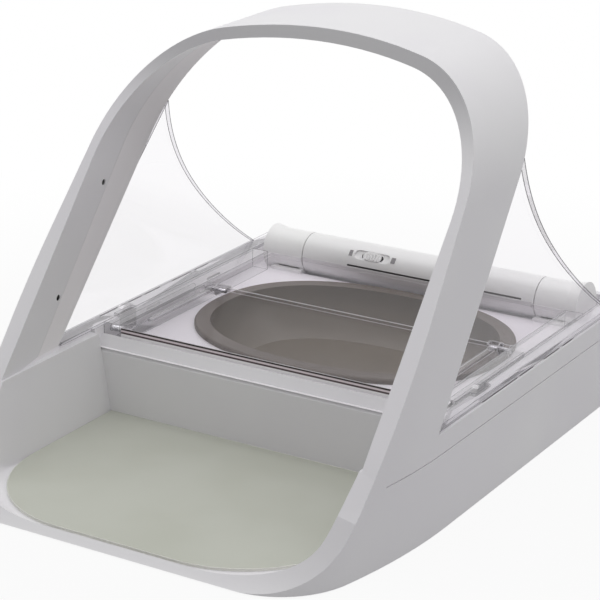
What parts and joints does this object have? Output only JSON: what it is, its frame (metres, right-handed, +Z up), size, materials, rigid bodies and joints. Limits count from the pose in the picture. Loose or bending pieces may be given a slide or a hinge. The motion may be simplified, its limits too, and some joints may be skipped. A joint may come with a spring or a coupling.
{
  "type": "microchip pet feeder",
  "caption": "Automatic pet feeder with an open eating tray, a sensing hoop with clear side guards behind it, and a clear two-part folding lid over a food bowl.",
  "frame": {"origin": "middle of the footprint on the floor", "axes": "+X across, -Y towards the open eating tray, +Z up"},
  "size_m": [0.2298, 0.3198, 0.202],
  "materials": {
    "case_plastic": "satin white",
    "liner_plastic": "satin light grey",
    "clear_plastic": "clear moulded plastic",
    "mat_rubber": "matt grey-green",
    "bowl_plastic": "satin dark grey",
    "copper_tape": "copper foil",
    "sensor_plastic": "dark tinted",
    "cell_metal": "plain wrap",
    "board": "green board",
    "chip_plastic": "black",
    "steel": "bright",
    "foot_rubber": "matt",
    "gear_plastic": "natural",
    "switch_plastic": "satin"
  },
  "bodies": {
    "base": {"lower_case": "case_plastic", "upper_case": "case_plastic", "hoop_liner": "liner_plastic", "antenna_coil": "copper_tape", "beam_emitters": "sensor_plastic", "beam_receivers": "sensor_plastic", "bar_end_left": "case_plastic", "bar_end_right": "case_plastic", "rail_left": "clear_plastic", "rail_right": "clear_plastic", "rail_clip_left": "clear_plastic", "rail_clip_right": "clear_plastic", "side_guard_left": "clear_plastic", "side_guard_right": "clear_plastic", "battery_cells": "cell_metal", "battery_contacts": "steel", "circuit_board": "board", "board_parts": "chip_plastic", "button_board": "board", "case_screws": "steel", "rubber_feet": "foot_rubber", "gear_axle": "steel", "gearbox_frame": "gear_plastic", "motor": "steel"},
    "lid_rear": {"lid_rear_panel": "clear_plastic", "lid_bar": "case_plastic", "drive_shaft": "steel", "stub_shaft": "steel", "driven_gear": "gear_plastic", "hinge_pin_left": "steel", "hinge_pin_right": "steel"},
    "lid_front": {"lid_front_panel": "clear_plastic", "guide_pin_left": "steel", "guide_pin_right": "steel"},
    "lock": {"lock_slider": "switch_plastic"},
    "compound": {"compound_gear": "gear_plastic"},
    "rotor": {"motor_pinion": "gear_plastic"},
    "food_bowl": {"bowl": "bowl_plastic"},
    "mat": {"tray_mat": "mat_rubber"},
    "battery_door_left": {"battery_cover_left": "case_plastic"},
    "battery_door_right": {"battery_cover_right": "case_plastic"},
    "key_left": {"button_left": "switch_plastic"},
    "key_right": {"button_right": "switch_plastic"}
  },
  "joints": [
    {"name": "lid_hinge", "type": "hinge", "parent": "base", "child": "lid_rear", "pos_m": [0, 0.1325, 0.0445], "axis": [-1, 0, 0], "range_deg": [0, 58]},
    {"name": "mid_hinge", "type": "hinge", "parent": "lid_rear", "child": "lid_front", "pos_m": [0, 0.05675, 0.0445], "axis": [-1, 0, 0], "range_deg": [-116, 0]},
    {"name": "compound_spin", "type": "hinge", "parent": "base", "child": "compound", "pos_m": [-0.0825, 0.1325, 0.0325], "axis": [-1, 0, 0], "range_deg": [-116, 0]},
    {"name": "motor_spin", "type": "hinge", "parent": "base", "child": "rotor", "pos_m": [-0.0825, 0.1325, 0.0225], "axis": [-1, 0, 0], "range_deg": [0, 348]},
    {"name": "lock_slide", "type": "slide", "parent": "lid_rear", "child": "lock", "axis": [1, 0, 0], "range_m": [-0.0035, 0.0035]},
    {"name": "button_left_press", "type": "slide", "parent": "base", "child": "key_left", "axis": [0, -1, 0], "range_m": [0, 0.0006], "stiffness_N_per_m": 400},
    {"name": "button_right_press", "type": "slide", "parent": "base", "child": "key_right", "axis": [0, -1, 0], "range_m": [0, 0.0006], "stiffness_N_per_m": 400},
    {"name": "bowl_lift", "type": "slide", "parent": "base", "child": "food_bowl", "axis": [0, 0, 1], "range_m": [0, 0.0006]},
    {"name": "mat_lift", "type": "slide", "parent": "base", "child": "mat", "axis": [0, 0, 1], "range_m": [0, 0.04]},
    {"name": "battery_door_left_out", "type": "slide", "parent": "base", "child": "battery_door_left", "axis": [0, 0, -1], "range_m": [0, 0.03]},
    {"name": "battery_door_right_out", "type": "slide", "parent": "base", "child": "battery_door_right", "axis": [0, 0, -1], "range_m": [0, 0.03]}
  ],
  "couplings": [
    {"joint": "mid_hinge", "follows": "lid_hinge", "ratio": -2},
    {"joint": "compound_spin", "follows": "lid_hinge", "ratio": -2},
    {"joint": "motor_spin", "follows": "lid_hinge", "ratio": 6}
  ]
}
